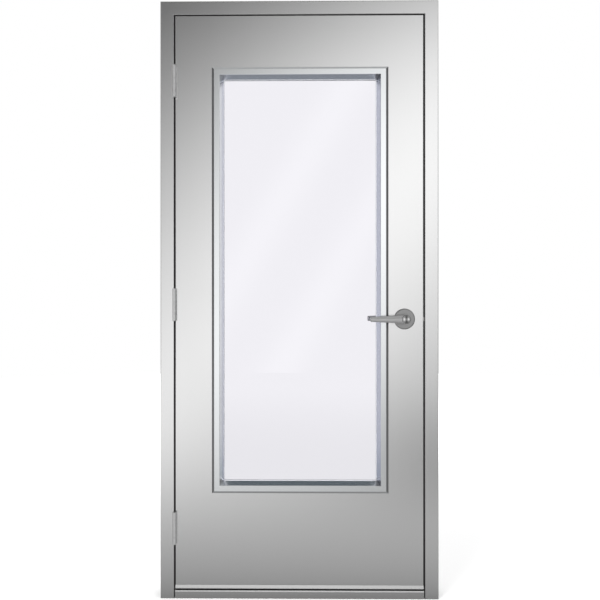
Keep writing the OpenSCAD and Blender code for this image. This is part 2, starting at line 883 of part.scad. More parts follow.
module bottom_seal() {
    depth = bottom_gap - seal_clear;
    color(black) along_x(leaf_l + seal_mid, leaf_r - seal_mid) translate([leaf_mid, leaf_bottom])
        rotate(180) seal_section(depth);
}

module door_core() {
    hinge_half = hinge_h / 2 + hinge_plate_over + fit;
    lock_half = edge_plate_h / 2 + fit;
    liner_w = cut_w + 2 * liner_leg + 2 * fit;
    liner_h = cut_h + 2 * liner_leg + 2 * fit;
    color(grey_foam) difference() {
        block([inner_l, inner_front, skin_low + channel_leg + fit],
              [inner_r, inner_rear, leaf_top - channel_leg - fit]);
        translate([lite_x, leaf_mid, lite_z]) cube([liner_w, leaf_t, liner_h], center = true);
        for (z = hinge_zs)
            block([leaf_l, leaf_front, z - hinge_half],
                  [leaf_l + max(hinge_screw_l, hinge_t + hinge_plate_t) + 1, leaf_rear, z + hinge_half]);
        block([lock_x - through_r - through_d, leaf_front, lock_z - lock_half],
              [leaf_r, leaf_rear, lock_z + lock_half]);
    }
}

// Channel that closes the cut-out between the skins, open towards the core
module lite_opening_liner() {
    color(plated) translate([lite_x, leaf_mid, lite_z]) difference() {
        cube([cut_w + 2 * liner_leg, inner_mid_t, cut_h + 2 * liner_leg], center = true);
        cube([cut_w, leaf_t, cut_h], center = true);
        difference() {
            cube([2 * lite_w, inner_mid_t - 2 * liner_t, 2 * lite_h], center = true);
            cube([cut_w + 2 * liner_t, leaf_t, cut_h + 2 * liner_t], center = true);
        }
    }
}

// Section of a lite frame: X runs in from its outer edge, Y stands off the leaf
module trim_section() {
    difference() {
        polygon(folded([
            [trim_border - tape_w, -trim_drop],
            [trim_border, -trim_drop],
            [trim_bevel + trim_lip, trim_proud],
            [trim_bevel, trim_proud],
            [0, 0]
        ], trim_t, trim_bend));
        translate([-1, -2 * trim_t]) square([trim_bevel, 2 * trim_t]);
    }
}

// Ring of four rails with mitred corners, in the X-Y plane, its section standing on plus Z
module mitred_ring(w, h, border) {
    far = border + 1;
    for (k = [0 : 3]) {
        span = k % 2 == 0 ? h : w;
        across = k % 2 == 0 ? w : h;
        rotate([0, 0, 90 * k]) difference() {
            translate([-across / 2, 0, 0]) rotate([90, 0, 0]) linear_extrude(span + 2, center = true)
                children();
            for (m = [0, 1]) mirror([0, m, 0]) translate([-across / 2, -span / 2, 0])
                linear_extrude(4 * border, center = true) polygon([[-1, -1], [far, far], [far, -1]]);
        }
    }
}

// Places a piece on the middle of the lite, with its Z pointing out of the pull side
module on_lite_front() {
    translate([lite_x, leaf_front, lite_z]) rotate([90, 0, 0]) children();
}

// Places a piece on the middle of the lite, with its Z pointing out of the push side
module on_lite_rear() {
    translate([lite_x, leaf_rear, lite_z]) rotate([90, 0, 180]) children();
}

// Places of the lite frame's screws, in the plane of the lite
module at_trim_screws() {
    side = lite_w / 2 - trim_screw_in;
    rise = lite_h / 2 - trim_screw_in;
    up = cut_h / 2 - upright_end;
    for (k = [-1, 1], i = [0 : upright_screws - 1])
        translate([k * side, -up + 2 * up * i / (upright_screws - 1), 0]) children();
    for (k = [-1, 1], i = [0 : rail_screws - 1])
        translate([-cut_w / 4 + cut_w / 2 * i / (rail_screws - 1), k * rise, 0]) children();
}

// Front lite frame with the bosses that take the screws from the push side
module front_lite_frame() {
    color(steel) on_lite_front() {
        mitred_ring(lite_w, lite_h, trim_border) trim_section();
        at_trim_screws() translate([0, 0, boss_low]) difference() {
            cylinder(h = trim_proud - trim_t - boss_low, d = boss_d);
            translate([0, 0, -1]) cylinder(h = boss_bore, d = trim_screw_d + 2 * run_fit);
        }
    }
}

module rear_lite_frame() {
    color(steel) on_lite_rear() difference() {
        mitred_ring(lite_w, lite_h, trim_border) trim_section();
        at_trim_screws() cylinder(h = trim_proud + 1, d = trim_screw_d + 2 * fit);
    }
}

module lite_frame_screws() {
    shank = trim_proud + leaf_rear - glass_front + trim_screw_grip;
    color(plated) on_lite_rear() at_trim_screws() translate([0, 0, trim_proud]) {
        cylinder(h = trim_head_h, d1 = trim_head_d, d2 = trim_head_d - trim_head_h);
        translate([0, 0, -shank]) cylinder(h = shank, d = trim_screw_d);
    }
}

module glass_pane() {
    color(clear) translate([lite_x, leaf_mid, lite_z]) cube([glass_w, glass_t, glass_h], center = true);
}

// Tape between the glass and the foot of a lite frame
module glazing_tape(y) {
    w = lite_w - 2 * trim_border;
    h = lite_h - 2 * trim_border;
    color(pale_tape) translate([lite_x, y, lite_z]) difference() {
        cube([w + 2 * tape_w, tape_t, h + 2 * tape_w], center = true);
        cube([w, 2 * tape_t, h], center = true);
    }
}

module front_glazing_tape() {
    glazing_tape(leaf_mid - glass_t / 2 - tape_t / 2);
}

module rear_glazing_tape() {
    glazing_tape(leaf_mid + glass_t / 2 + tape_t / 2);
}

module setting_blocks() {
    low = lite_z - cut_h / 2;
    high = lite_z - glass_h / 2;
    color(black) for (k = [-1, 1]) translate([lite_x + k * block_x, leaf_mid, (low + high) / 2])
        cube([block_l, glass_t, high - low], center = true);
}

// Body of the lock in the cross bore, with its outside mount plate
module lock_chassis() {
    color(plated) difference() {
        on_pull_side() {
            cylinder(h = mount_t, d = mount_d);
            translate([0, 0, -leaf_t]) cylinder(h = leaf_t, d = chassis_d);
        }
        spindle_room();
        block([lock_x, leaf_mid - tail_s / 2 - turn_gap, lock_z - tail_s / 2 - turn_gap],
              [leaf_r, leaf_mid + tail_s / 2 + turn_gap, lock_z + tail_s / 2 + turn_gap]);
        through_holes();
    }
}

// Bore that lets the spindle turn
module spindle_room() {
    on_pull_side() translate([0, 0, -leaf_t - 2 * mount_t])
        cylinder(h = leaf_t + 4 * mount_t, d = spindle_s * sqrt(2) + 2 * turn_gap);
}

// Holes for the two through bolts
module through_holes() {
    on_pull_side() for (k = [-1, 1]) translate([0, k * through_r, -leaf_t - 2 * mount_t])
        cylinder(h = leaf_t + 4 * mount_t, d = through_d + 2 * fit);
}

module lock_mount_plate() {
    color(plated) difference() {
        on_push_side() cylinder(h = mount_t, d = mount_d);
        spindle_room();
        through_holes();
    }
}

module through_bolts() {
    color(plated) on_push_side() for (k = [-1, 1]) translate([0, k * through_r, 0]) {
        translate([0, 0, mount_t]) cylinder(h = through_head_h, d = through_head_d);
        translate([0, 0, -leaf_t - mount_t]) cylinder(h = leaf_t + 2 * mount_t, d = through_d);
    }
}

// Spun cover over the mount plate, hollow behind, with a hole for the lever's neck
module rose() {
    hole = neck_d / 2 + turn_gap;
    edge = [rose_r - rose_round, rose_h - rose_round];
    color(steel) rotate_extrude() polygon(concat(
        [[rose_r, 0]],
        arc(edge, rose_round, 0, 90),
        [[hole, rose_h], [hole, rose_h - rose_t]],
        arc(edge, rose_round - rose_t, 90, 0),
        [[rose_r - rose_t, 0]]
    ));
}

module outside_rose() {
    on_pull_side() rose();
}

module inside_rose() {
    on_push_side() rose();
}

// Round bar of the lever with a blunt end, along Z from the spindle
module lever_bar() {
    rotate_extrude() polygon(concat(
        [[0, 0], [lever_root_d / 2, 0]],
        arc([lever_tip_d / 2 - lever_round, lever_l - lever_round], lever_round, 0, 90),
        [[0, lever_l]]
    ));
}

// Hub on the spindle with a bar that tapers towards the hinges
module lever() {
    hub_r = hub_d / 2;
    hub_round = 3;
    hub_low = rose_h + turn_gap;
    difference() {
        union() {
            rotate_extrude() polygon(concat(
                [[0, neck_low], [neck_d / 2, neck_low], [neck_d / 2, hub_low], [hub_r, hub_low + hub_round]],
                arc([hub_r - hub_round, hub_face - hub_round], hub_round, 0, 90),
                [[0, hub_face]]
            ));
            translate([0, 0, lever_reach]) rotate([0, -90, 0]) lever_bar();
        }
        translate([0, 0, (spindle_out + fit) / 2])
            cube([spindle_s + 2 * fit, spindle_s + 2 * fit, spindle_out + fit], center = true);
    }
}

module outside_lever() {
    color(steel) on_pull_side() difference() {
        lever();
        translate([0, 0, hub_face - plug_l - fit]) cylinder(h = plug_l + 1, d = plug_d + 2 * run_fit);
    }
}

module inside_lever() {
    color(steel) on_push_side() lever();
}

module lock_spindle() {
    color(plated) translate([lock_x, leaf_mid, lock_z])
        cube([spindle_s, leaf_t + 2 * spindle_out, spindle_s], center = true);
}

module key_plug() {
    color(plated) on_pull_side() translate([0, 0, hub_face - plug_l]) difference() {
        cylinder(h = plug_l, d = plug_d);
        translate([0, 0, plug_l]) cube([keyway_w, keyway_h, plug_l], center = true);
    }
}

// Screw places of the latch faceplate
module at_face_screws() {
    for (k = [-1, 1]) translate([leaf_r, leaf_mid, lock_z + k * face_pitch / 2]) rotate([0, 90, 0])
        children();
}

module latch_faceplate() {
    hole_w = bolt_w + 2 * turn_gap;
    hole_h = bolt_h + 2 * turn_gap;
    color(plated) difference() {
        block([leaf_r - plate_t, leaf_mid - face_w / 2, lock_z - face_h / 2],
              [leaf_r, leaf_mid + face_w / 2, lock_z + face_h / 2]);
        block([leaf_r - plate_t - 1, leaf_mid - hole_w / 2, lock_z - hole_h / 2],
              [leaf_r + 1, leaf_mid + hole_w / 2, lock_z + hole_h / 2]);
        at_face_screws() flat_screw_room(small_screw_d, small_head_d, small_screw_l);
    }
}

module faceplate_screws() {
    color(plated) at_face_screws() flat_screw(small_screw_d, small_head_d, small_screw_l);
}

// Plate inside the lock edge, with the pocket of the faceplate and the hole of the latch tube
module lock_reinforcement() {
    color(dark_steel) difference() {
        block([leaf_r - plate_t - edge_plate_t, leaf_front + skin_bend + fit, lock_z - edge_plate_h / 2],
              [leaf_r - skin_t, leaf_rear - skin_bend - fit, lock_z + edge_plate_h / 2]);
        face_seat();
        translate([leaf_r, leaf_mid, lock_z]) rotate([0, -90, 0])
            cylinder(h = plate_t + edge_plate_t + 1, d = tube_d + 2 * fit);
        at_face_screws() flat_screw_room(small_screw_d, small_head_d, small_screw_l);
    }
}

module latch_tube() {
    length = leaf_r - plate_t - tube_end;
    color(plated) translate([tube_end, leaf_mid, lock_z]) rotate([0, 90, 0]) difference() {
        cylinder(h = length, d = tube_d);
        translate([0, 0, -1]) cylinder(h = length + 2, d = tube_d - 2 * tube_t);
    }
}

// Bolt with its bevel on the side that meets the strike first, and the tail that draws it back
module latch_bolt() {
    nose = 2.5;
    color(plated) {
        translate([0, leaf_mid, lock_z - bolt_h / 2]) linear_extrude(bolt_h) polygon([
            [bolt_back, -bolt_w / 2],
            [leaf_r + bolt_throw, -bolt_w / 2],
            [leaf_r + bolt_throw, -bolt_w / 2 + nose],
            [leaf_r + turn_gap, bolt_w / 2],
            [bolt_back, bolt_w / 2]
        ]);
        translate([(tail_end + bolt_back) / 2, leaf_mid, lock_z])
            cube([bolt_back - tail_end, tail_s, tail_s], center = true);
    }
}

hinge_jamb();
strike_jamb();
head_member();
threshold();
threshold_screws();
hinge_floor_clip();
strike_floor_clip();
hinge_side_seal();
strike_side_seal();
head_seal();
strike_plate();
strike_box();
strike_reinforcement();
strike_screws();
jamb_hinge_reinforcements();
jamb_hinge_screws();
top_hinge_jamb_leaf();
middle_hinge_jamb_leaf();
bottom_hinge_jamb_leaf();
top_hinge_pin();
middle_hinge_pin();
bottom_hinge_pin();
hinge_bearings();
top_hinge_door_leaf();
middle_hinge_door_leaf();
bottom_hinge_door_leaf();
door_hinge_reinforcements();
door_hinge_screws();
front_skin();
rear_skin();
top_channel();
bottom_channel();
door_core();
bottom_shoe();
bottom_seal();
shoe_screws();
lite_opening_liner();
front_lite_frame();
rear_lite_frame();
lite_frame_screws();
glass_pane();
front_glazing_tape();
rear_glazing_tape();
setting_blocks();
lock_chassis();
lock_mount_plate();
through_bolts();
outside_rose();
inside_rose();
outside_lever();
inside_lever();
lock_spindle();
key_plug();
lock_reinforcement();
latch_tube();
latch_bolt();
latch_faceplate();
faceplate_screws();
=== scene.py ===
# %% [markdown]
# # A glazed stainless steel door in its frame
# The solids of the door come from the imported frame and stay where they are. This lesson gives
# them their finishes, adds the small shapes that a solid modeller leaves plain, and sets up the
# floor, the light and the camera. Every length is in metres: X runs from the hinges to the lock,
# Y through the wall away from us, Z up from the floor.

# %% Load the solids
import json
import math

import bpy
import numpy as np
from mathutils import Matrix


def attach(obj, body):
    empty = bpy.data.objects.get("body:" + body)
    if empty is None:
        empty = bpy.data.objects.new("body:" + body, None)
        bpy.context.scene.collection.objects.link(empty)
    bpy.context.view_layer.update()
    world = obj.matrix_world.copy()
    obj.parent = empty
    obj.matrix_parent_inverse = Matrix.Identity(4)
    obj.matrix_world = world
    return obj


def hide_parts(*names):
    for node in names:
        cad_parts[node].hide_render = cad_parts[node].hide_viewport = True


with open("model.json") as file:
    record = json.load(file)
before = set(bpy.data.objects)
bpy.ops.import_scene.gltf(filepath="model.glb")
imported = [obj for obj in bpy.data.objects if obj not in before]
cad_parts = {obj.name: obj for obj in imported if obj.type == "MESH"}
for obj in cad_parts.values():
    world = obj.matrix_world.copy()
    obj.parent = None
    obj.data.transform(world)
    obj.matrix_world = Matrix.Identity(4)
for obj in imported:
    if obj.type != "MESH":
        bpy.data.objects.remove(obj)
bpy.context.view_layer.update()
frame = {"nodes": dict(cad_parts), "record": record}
nodes = frame["nodes"]
slot_of = {part["node"]: part["material_slot"] for part in frame["record"]["subparts"]}
scene = bpy.context.scene
scene.view_settings.view_transform = "Standard"

# %% [markdown]
# ## Shader sums as plain sums
# A finish is a graph of nodes, and a graph that is wired by hand is hard to read. A small class
# can stand for one socket, so that `1 - mask * 0.3` adds the Math nodes by itself. Any node that
# isn't a sum comes from one method, `node`: its type, its settings, then its inputs. The helpers
# after the class start a material, split a place into x, y and z, and link a wire to a shader.

# %% A socket that can be added and multiplied


class Wire:
    """One output socket of a node tree. Sums and products of wires and numbers add Math nodes."""

    def __init__(self, tree, socket=None):
        self.tree = tree
        self.socket = socket

    def node(self, kind, settings=None, inputs=None, out=0):
        """Adds a node: its settings first, then values or wires by socket."""
        made = self.tree.nodes.new(kind)
        for key, value in (settings or {}).items():
            setattr(made, key, value)
        for key, value in (inputs or {}).items():
            if isinstance(value, Wire):
                self.tree.links.new(value.socket, made.inputs[key])
            else:
                made.inputs[key].default_value = value
        return Wire(self.tree, made.outputs[out])

    def math(self, operation, *rest):
        """The Math node of that name, with this wire as its first input."""
        values = dict(enumerate((self,) + rest))
        return self.node("ShaderNodeMath", {"operation": operation}, values)

    def behind(self, operation, first):
        """The Math node of that name, with this wire as its second input."""
        return self.node("ShaderNodeMath", {"operation": operation}, {0: first, 1: self})

    def __add__(self, other):
        return self.math("ADD", other)

    def __sub__(self, other):
        return self.math("SUBTRACT", other)

    def __rsub__(self, other):
        return self.behind("SUBTRACT", other)

    def __mul__(self, other):
        return self.math("MULTIPLY", other)

    def __truediv__(self, other):
        return self.math("DIVIDE", other)

    def __rtruediv__(self, other):
        return self.behind("DIVIDE", other)

    def __pow__(self, power):
        return self.math("POWER", power)

    def __rpow__(self, base):
        return self.behind("POWER", base)

    __radd__ = __add__
    __rmul__ = __mul__

    def ramp(self, low, high, start=0.0, end=1.0):
        """A smooth step: start below low, end above high."""
        settings = {"interpolation_type": "SMOOTHSTEP", "clamp": True}
        values = {0: self, 1: low, 2: high, 3: start, 4: end}
        return self.node("ShaderNodeMapRange", settings, values)

    def blend(self, first, second):
        """A colour that goes from first to second as this wire goes from 0 to 1."""
        settings = {"data_type": "RGBA", "clamp_factor": True}
        return self.node("ShaderNodeMix", settings, {0: self, 6: first, 7: second}, out=2)


def axes(wire):
    """The X, Y and Z wires of a vector."""
    split = wire.node("ShaderNodeSeparateXYZ", None, {0: wire}).socket.node
    return [Wire(wire.tree, split.outputs[k]) for k in range(3)]


def new_finish(name):
    """An empty material: its tree as a wire, its shader and its Object coordinates."""
    material = bpy.data.materials.new(name)
    material.use_nodes = True
    tree = Wire(material.node_tree)
    shader = material.node_tree.nodes["Principled BSDF"]
    place = tree.node("ShaderNodeTexCoord", None, None, out=3)
    return material, tree, shader, place


def join(wire, shader, socket):
    """Links a wire to one socket of the shader."""
    wire.tree.links.new(wire.socket, shader.inputs[socket])


print("Wire: +, -, *, /, ** add Math nodes; node() adds any other node")

# %% [markdown]
# ## Brushed stainless steel
# Sheet for doors is brushed with a belt. The belt leaves fine scratches along the grain, some ten
# centimetres long and less than a millimetre wide, and the mill leaves faint streaks that are
# wider and run the whole length. One stretched noise makes the scratches as a bump, a second one
# makes the streaks in tone and in gloss, and a third, soft and round, stands for handling. The
# grain runs upright on the leaf and along each member of the frame, so the direction is a setting.
# Three masks can change it: `mitre` is 1 where the grain runs across instead of up, the shade
# mask is 1 where painted shade darkens the sheet and makes it rougher, and `cool` is 1 where a
# painted reflection of the glass, a darker bluish grey, lies on the tone.

# %% Brushed steel
SCRATCHES = {"long_scale": 9.0, "cross_scale": 1500.0, "detail": 3.0, "rough": 0.6}
STREAKS = {"long_scale": 0.25, "cross_scale": 130.0, "detail": 2.0, "rough": 0.5}
TOUCH_SCALE, SCRATCH_DEPTH = 3.0, 0.0004
# Where the shade mask is 1, painted shade darkens the tone by the third number and the roughness
# rises by the fourth.
STREAK_GLOSS, TOUCH_GLOSS, PAINTED_SHADE_DEPTH, DULL_GLOSS = 0.02, 0.03, 0.62, 0.22
# The darker bluish grey of the painted reflection of the glass on the trim's slopes.
GLASS_REFLECTION_TONE = (0.60, 0.62, 0.70)


def scaled(level, tone):
    """A tone made lighter or darker by a level."""
    return level.node("ShaderNodeVectorMath", {"operation": "SCALE"}, {0: tone, "Scale": level})


def bumped(height, strength, distance):
    """A normal that is tilted by a pattern of heights."""
    return height.node("ShaderNodeBump", None,
                       {"Strength": strength, "Distance": distance, "Height": height})


def brushed(name, tone, roughness, grain, scratch=0.02, streak=0.008, mitre=None, dull_and_shaded=None,
            cool=None):
    """Brushed steel: noise stretched along one axis sets tone, roughness and bump."""
    material, tree, shader, place = new_finish(name)

    def noise(scale, detail, rough=0.5):
        """Noise with a scale of its own along each axis."""
        mapped = tree.node("ShaderNodeMapping", None, {0: place, "Scale": scale})
        return tree.node("ShaderNodeTexNoise", None,
                         {"Vector": mapped, "Scale": 1.0, "Detail": detail, "Roughness": rough})

    def drawn_out(along, long_scale, cross_scale, detail, rough):
        """Noise that is stretched along one axis."""
        scale = [long_scale if axis == along else cross_scale for axis in "xyz"]
        return noise(scale, detail, rough)

    lines = drawn_out(grain, **SCRATCHES)
    bands = drawn_out(grain, **STREAKS)
    touch = noise([TOUCH_SCALE] * 3, 2.0)
    if mitre:
        across = mitre(*axes(place))
        lines = lines * (1 - across) + drawn_out("x", **SCRATCHES) * across
        bands = bands * (1 - across) + drawn_out("x", **STREAKS) * across
    level = 1 + (bands - 0.5) * (2 * streak) + (lines - 0.5) * (1.2 * streak)
    gloss = roughness + (bands - 0.5) * STREAK_GLOSS + (touch - 0.5) * TOUCH_GLOSS
    # Painted shade: the mask darkens the tone, and it also makes the steel rougher.
    if dull_and_shaded:
        shade_and_dull = dull_and_shaded(*axes(place))
        level = level * (1 - shade_and_dull * PAINTED_SHADE_DEPTH)
        gloss = gloss + shade_and_dull * DULL_GLOSS
    # Painted reflection: the mask blends the tone towards the darker bluish grey that the glass
    # throws on the slopes.
    if cool:
        tone = cool(*axes(place)).blend((*tone, 1), (*GLASS_REFLECTION_TONE, 1))
    join(scaled(level, tone), shader, "Base Color")
    join(gloss, shader, "Roughness")
    join(bumped(lines, scratch, SCRATCH_DEPTH), shader, "Normal")
    shader.inputs["Metallic"].default_value = 1.0
    return material


print("brushed(name, tone, roughness, grain) makes a steel finish")

# %% [markdown]
# ## Where the steel is shaded and dull
# The bends of the frame that face the narrow gap round the leaf, and the leaf's folded edges, get
# painted shade: the tone is darkened there, and the steel is made a little rougher. Each of these
# places is a plain rule on x, y and z, so it is written as a mask.

# %% Masks of the frame and the leaf
GAP_X, GAP_TOP, STOP_Y = 0.4602, 2.1366, -0.030
EDGE_X, EDGE_TOP = 0.4531, 2.1295


def before_stop(y):
    """1 in front of the frame's stop."""
    return y.ramp(STOP_Y - 0.004, STOP_Y, 1.0, 0.0)


# The three masks below mark painted shade: the shade of the gap round the leaf.
def jamb_gap(x, y, z):
    """1 on a jamb's bend and rabbet in front of its stop."""
    return x.math("ABSOLUTE").ramp(GAP_X - 0.0008, GAP_X, 1.0, 0.0) * before_stop(y)


def head_gap(x, y, z):
    """1 on the head's bend and rabbet in front of its stop."""
    return z.ramp(GAP_TOP - 0.0008, GAP_TOP, 1.0, 0.0) * before_stop(y)


def leaf_edge(x, y, z):
    """1 on the folded edges of the leaf, behind its faces."""
    sides = x.math("ABSOLUTE").ramp(EDGE_X - 0.0007, EDGE_X)
    return sides.math("MAXIMUM", z.ramp(EDGE_TOP - 0.0007, EDGE_TOP))


print("masks: jamb_gap, head_gap, leaf_edge")

# %% [markdown]
# ## The trim round the glass
# The trim is cut at 45 degrees at its corners, so its grain turns there. Its upright bevels look
# away from the light and get painted shade, and so do the four corners of its slope. Its slopes
# get a painted reflection of the glass, darker and bluish: the upright ones most, the upper one
# half and the lower one not at all. The limits below are counted inwards from the trim's outer
# edge, so that one rule holds for all four of its sides.

# %% Masks of the trim
LITE_X, LITE_Z, LITE_W, LITE_H = 0.003, 1.164, 0.645, 1.557
BEVEL, FACE_END = (-0.0100, -0.0088), (-0.0285, -0.0275)
SLOPE, SLOPE_CORNER = (-0.0435, -0.0310), (-0.0500, -0.0440)


def past_trim(x, z):
    """How far a point lies outside the trim's outline, sideways and upwards: negative inside it."""
    across = (x - LITE_X).math("ABSOLUTE") - LITE_W / 2
    up = (z - LITE_Z).math("ABSOLUTE") - LITE_H / 2
    return across, up


def on_slope(across, up):
    """1 on the trim's slope down to the glass, inside its flat face."""
    return across.math("MAXIMUM", up).ramp(*FACE_END, 1.0, 0.0)


def switch(offset, below, above):
    """One value left of or below the middle of the glass, another right of or above it."""
    return offset.ramp(-0.1, 0.1, below, above)


def corner_cut(x, y, z):
    """1 on the rails of the trim: outside the 45 degree lines through its corners."""
    across, up = past_trim(x, z)
    return (up - across).ramp(-0.0001, 0.0001)


def trim_shade(x, y, z):
    """Painted shade: near 1 on the trim's upright bevels, and less in the four corners of its
    slope.
    """
    across, up = past_trim(x, z)
    bevel = across.ramp(*BEVEL, 0.0, 0.95) * (1 - corner_cut(x, y, z))
    corner = across.math("MINIMUM", up).ramp(*SLOPE_CORNER)
    corner = corner * switch(x - LITE_X, 0.1, 0.75)
    return bevel + corner * on_slope(across, up)


def slope_glass_reflection(x, y, z):
    """Painted reflection of the glass: up to 1 on the trim's upright slopes, half on the upper
    slope and 0 on the lower one.
    """
    across, up = past_trim(x, z)
    left = switch(x - LITE_X, 1.0, 0.0)
    upright = 1 - left * across.ramp(*SLOPE, 0.1, 0.95)
    upper = switch(z - LITE_Z, 0.0, 0.5)
    rail = corner_cut(x, y, z)
    return on_slope(across, up) * (upright * (1 - rail) + upper * rail)


print("masks: corner_cut, trim_shade, slope_glass_reflection")

# %% [markdown]
# ## Nine kinds of steel
# All the bare steel of the door comes from the same recipe. What differs is the tone, the gloss,
# the way the grain runs and how deep it is: cast and turned pieces of the lock are darker than
# sheet, and the rolled knuckles of the hinges are the most matt.

# %% Steel finishes
# The shade masks below paint shade into the gap round the leaf and onto the trim's bevels and
# corners, and make the steel there rougher; the trim's slopes also get a painted reflection of the
# glass.
leaf_steel = brushed("leaf_steel", (0.80, 0.80, 0.80), 0.20, "z", dull_and_shaded=leaf_edge)
jamb_steel = brushed("jamb_steel", (0.79, 0.79, 0.79), 0.20, "z", dull_and_shaded=jamb_gap)
head_steel = brushed("head_steel", (0.79, 0.79, 0.79), 0.20, "x", dull_and_shaded=head_gap)
sill_steel = brushed("sill_steel", (0.75, 0.75, 0.75), 0.20, "x")
trim_steel = brushed("trim_steel", (0.84, 0.86, 0.87), 0.19, "z", 0.01, 0.006,
                     mitre=corner_cut, dull_and_shaded=trim_shade, cool=slope_glass_reflection)
hinge_steel = brushed("hinge_steel", (0.88, 0.88, 0.88), 0.46, "z", 0.04)
rose_steel = brushed("rose_steel", (0.34, 0.34, 0.34), 0.28, "y", 0.03)
lock_steel = brushed("lock_steel", (0.62, 0.61, 0.60), 0.24, "x", 0.03)
screw_steel = brushed("screw_steel", (0.66, 0.66, 0.66), 0.25, "y", 0.03)
print("steel finishes made")

# %% [markdown]
# ## Spun hub
# The face of the lever's hub is turned on a lathe, so its scratches are circles. Circular
# scratches gather light into a bow tie: bright to the left and right of the middle, dark above
# and below it. A shader with turned grain could do this from the light alone, but a mask in the
# angle about the lock's axis is steadier and looks the same from every side.

# %% Lever and plug finishes
LOCK_X, LOCK_Z, HUB_R = 0.38335, 1.022, 0.0165
FACE_Y, FACE_GLOSS, RING_RATE, GRAIN_SCALE = -0.1375, 0.24, 9000.0, 900.0
GLINT_FROM, GLINT_TO, SHADE_TO = (0.0040, 0.0062), (0.0085, 0.0120), (0.0125, 0.0150)


def spun(name, tone, face_tone, roughness):
    """Satin steel with a spun face, painted with a highlight and a shade that follow |cos a|, the
    angle about the lock's axis.
    """
    material, tree, shader, place = new_finish(name)
    x, y, z = axes(place)
    x = (x - LOCK_X).math("ABSOLUTE")
    r = (x * x + (z - LOCK_Z) * (z - LOCK_Z)).math("SQRT").math("MAXIMUM", 0.0004)
    in_front = y.ramp(FACE_Y - 0.0002, FACE_Y + 0.0002, 1.0, 0.0)
    face = in_front * r.ramp(HUB_R - 0.0015, HUB_R, 1.0, 0.0)
    turn = x / r
    # Painted highlight and painted shade of the bow tie: bright beside the middle, dark above and
    # below it.
    glint = turn.ramp(0.72, 0.97) * r.ramp(*GLINT_FROM) * r.ramp(*GLINT_TO, 1.0, 0.0)
    shade = turn.ramp(0.22, 0.60, 1.0, 0.0) * r.ramp(*SHADE_TO, 1.0, 0.0)
    rings = (r * RING_RATE).math("SINE")
    grain = tree.node("ShaderNodeTexNoise", None,
                      {"Vector": place, "Scale": GRAIN_SCALE, "Detail": 2.0})
    level = tone * (1 - face) + face * (face_tone + glint * 0.55 - shade * (0.62 * face_tone))
    level = level * (1 + (grain - 0.5) * 0.05 + rings * face * 0.02)
    gloss = roughness - face * (roughness - FACE_GLOSS) + (grain - 0.5) * 0.04
    join(scaled(level, (1, 1, 1)), shader, "Base Color")
    join(gloss, shader, "Roughness")
    join(bumped(grain + rings * face * 0.2, 0.04, 0.0003), shader, "Normal")
    shader.inputs["Metallic"].default_value = 1.0
    return material


lever_steel = spun("lever_steel", 0.78, 0.30, 0.56)
plug_steel = spun("plug_steel", 0.45, 0.34, 0.30)
print("lever and plug finishes made")

# %% [markdown]
# ## Zinc, primer, foam, tape, rubber and glass
# The pieces inside the leaf and behind the frame are zinc plated or primed. Zinc has a pale
# spangle of flat crystals, which a pattern of cells gives. Primer, foam and the pale tape that
# holds the glass are matt with a soft mottle. Rubber is nearly black and shows a little grey where
# it is handled. The glass is a plain clear pane with a trace of violet, so one colour will do for
# the whole of it.

# %% Other finishes


def mottled(name, dark, light, roughness, scale, kind="ShaderNodeTexNoise", metal=0.0, relief=0.1):
    """A two-tone surface: a noise or a cell pattern mixes two colours and lifts a small bump."""
    material, tree, shader, place = new_finish(name)
    pattern = tree.node(kind, None, {"Vector": place, "Scale": scale})
    join(pattern.ramp(0.2, 0.8).blend(dark, light), shader, "Base Color")
    join(roughness + (pattern - 0.5) * 0.12, shader, "Roughness")
    join(bumped(pattern, relief, 0.0005), shader, "Normal")
    shader.inputs["Metallic"].default_value = metal
    return material


zinc = mottled("zinc_plate", (0.50, 0.52, 0.54, 1), (0.66, 0.67, 0.68, 1), 0.38, 160.0,
               "ShaderNodeTexVoronoi", 1.0, 0.02)
primer = mottled("grey_primer", (0.15, 0.155, 0.16, 1), (0.19, 0.195, 0.20, 1), 0.6, 90.0)
foam = mottled("core_foam", (0.62, 0.60, 0.54, 1), (0.72, 0.70, 0.64, 1), 0.85, 220.0, relief=0.5)
tape = mottled("pale_tape", (0.66, 0.67, 0.71, 1), (0.76, 0.77, 0.81, 1), 0.7, 180.0)
rubber = mottled("black_rubber", (0.012, 0.012, 0.013, 1), (0.022, 0.022, 0.024, 1), 0.55, 140.0)

glass, _, pane, _ = new_finish("clear_glass")
pane.inputs["Base Color"].default_value = (0.885, 0.875, 0.92, 1)
pane.inputs["Roughness"].default_value = 0.0
pane.inputs["IOR"].default_value = 1.5
pane.inputs["Transmission Weight"].default_value = 1.0
print("other finishes made")

# %% [markdown]
# ## A finish for every solid
# The record of the part already says which finish each solid has, so the table below is keyed by
# those names. A few solids differ from the rest of their kind: the grain of the head, the
# threshold and the bottom shoe runs across, the roses are darker than the rest of the lock, and
# the key plug has a spun face like the hub's.

# %% Hand out the finishes
finish_of = {
    "frame_steel": jamb_steel, "leaf_steel": leaf_steel, "trim_steel": trim_steel,
    "hinge_steel": hinge_steel, "lever_steel": lever_steel, "lock_steel": lock_steel,
    "screw_steel": screw_steel, "plated_steel": zinc, "primed_steel": primer,
    "black_rubber": rubber, "pale_tape": tape, "clear_glass": glass, "core_foam": foam,
}
own_finish = {"head_member": head_steel, "threshold": sill_steel, "bottom_shoe": sill_steel,
              "outside_rose": rose_steel, "inside_rose": rose_steel, "key_plug": plug_steel}
for name, solid in nodes.items():
    solid.data.materials.clear()
    solid.data.materials.append(own_finish.get(name, finish_of[slot_of[name]]))
print("finishes handed out to", len(nodes), "solids")

